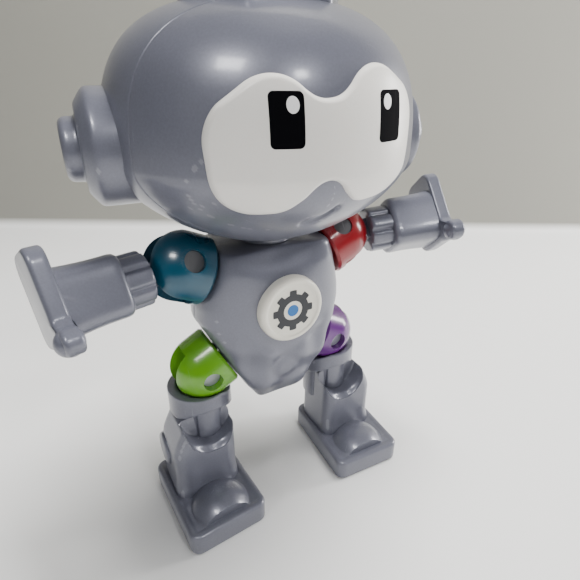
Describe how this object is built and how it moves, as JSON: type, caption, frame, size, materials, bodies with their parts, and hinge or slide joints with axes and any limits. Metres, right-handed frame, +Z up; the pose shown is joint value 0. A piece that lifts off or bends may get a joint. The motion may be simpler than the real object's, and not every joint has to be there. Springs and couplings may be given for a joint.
{
  "type": "articulated toy robot",
  "caption": "Palm-sized toy robot: round head with goggle face and ear drums, wedge torso, coloured ball-ended joints, arms with flat hands, legs with block feet.",
  "frame": {"origin": "on the floor, straight below the middle of the head; the soles stand on z = 0", "axes": "+Z up; the robot faces -Y; +X is its left side"},
  "size_m": [0.0983, 0.0575, 0.1148],
  "materials": {
    "shell": "glossy grey plastic with a faint violet cast",
    "white": "glossy warm white plastic, printed black eyes",
    "badge": null,
    "blue": "glossy blue plastic",
    "red": "glossy red plastic",
    "green": "glossy lime green plastic",
    "purple": "glossy purple plastic",
    "dark_pin": "dark grey plastic",
    "grey_pin": "light grey plastic",
    "steel": "zinc plated screws"
  },
  "bodies": {
    "torso": {"torso_front_shell": "shell", "torso_back_shell": "shell", "badge": "badge", "torso_screws": "steel"},
    "head": {"head_front_shell": "shell", "head_back_shell": "shell", "face_plate": "white", "crown_block": "shell", "ear_right": "shell", "ear_left": "shell", "head_screws": "steel", "neck_post": "shell"},
    "shoulder_right": {"shoulder_joint_right": "blue", "shoulder_pin_right": "dark_pin"},
    "shoulder_left": {"shoulder_joint_left": "red", "shoulder_pin_left": "dark_pin"},
    "hip_right": {"hip_joint_right": "green", "hip_pin_right": "grey_pin"},
    "hip_left": {"hip_joint_left": "purple", "hip_pin_left": "grey_pin"},
    "arm_right": {"arm_right": "shell"},
    "arm_left": {"arm_left": "shell"},
    "leg_right": {"leg_right": "shell"},
    "leg_left": {"leg_left": "shell"}
  },
  "joints": [
    {"name": "head_turn", "type": "hinge", "parent": "torso", "child": "head", "pos_m": [0, 0, 0.065], "axis": [0, 0, 1], "range_deg": [-70, 80]},
    {"name": "shoulder_swivel_right", "type": "hinge", "parent": "torso", "child": "shoulder_right", "pos_m": [-0.02, 0, 0.0617], "axis": [-0.9135, 0, 0.4067], "range_deg": [-80, 40]},
    {"name": "arm_hinge_right", "type": "hinge", "parent": "shoulder_right", "child": "arm_right", "pos_m": [-0.02, 0, 0.0617], "axis": [-0.191, 0.8829, -0.4289], "range_deg": [-40, 14]},
    {"name": "shoulder_swivel_left", "type": "hinge", "parent": "torso", "child": "shoulder_left", "pos_m": [0.02, 0, 0.0617], "axis": [0.9135, 0, 0.4067], "range_deg": [-30, 95]},
    {"name": "arm_hinge_left", "type": "hinge", "parent": "shoulder_left", "child": "arm_left", "pos_m": [0.02, 0, 0.0617], "axis": [0.2774, 0.7314, -0.623], "range_deg": [-10, 40]},
    {"name": "hip_swivel_right", "type": "hinge", "parent": "torso", "child": "hip_right", "pos_m": [-0.0173, 0, 0.035], "axis": [-0.8829, 0, -0.4695], "range_deg": [-45, 45]},
    {"name": "leg_hinge_right", "type": "hinge", "parent": "hip_right", "child": "leg_right", "pos_m": [-0.0173, 0, 0.035], "axis": [0, 1, 0], "range_deg": [-12, 35]},
    {"name": "hip_swivel_left", "type": "hinge", "parent": "torso", "child": "hip_left", "pos_m": [0.0173, 0, 0.035], "axis": [0.8829, 0, -0.4695], "range_deg": [-45, 45]},
    {"name": "leg_hinge_left", "type": "hinge", "parent": "hip_left", "child": "leg_left", "pos_m": [0.0173, 0, 0.035], "axis": [0, 1, 0], "range_deg": [-35, 12]}
  ]
}
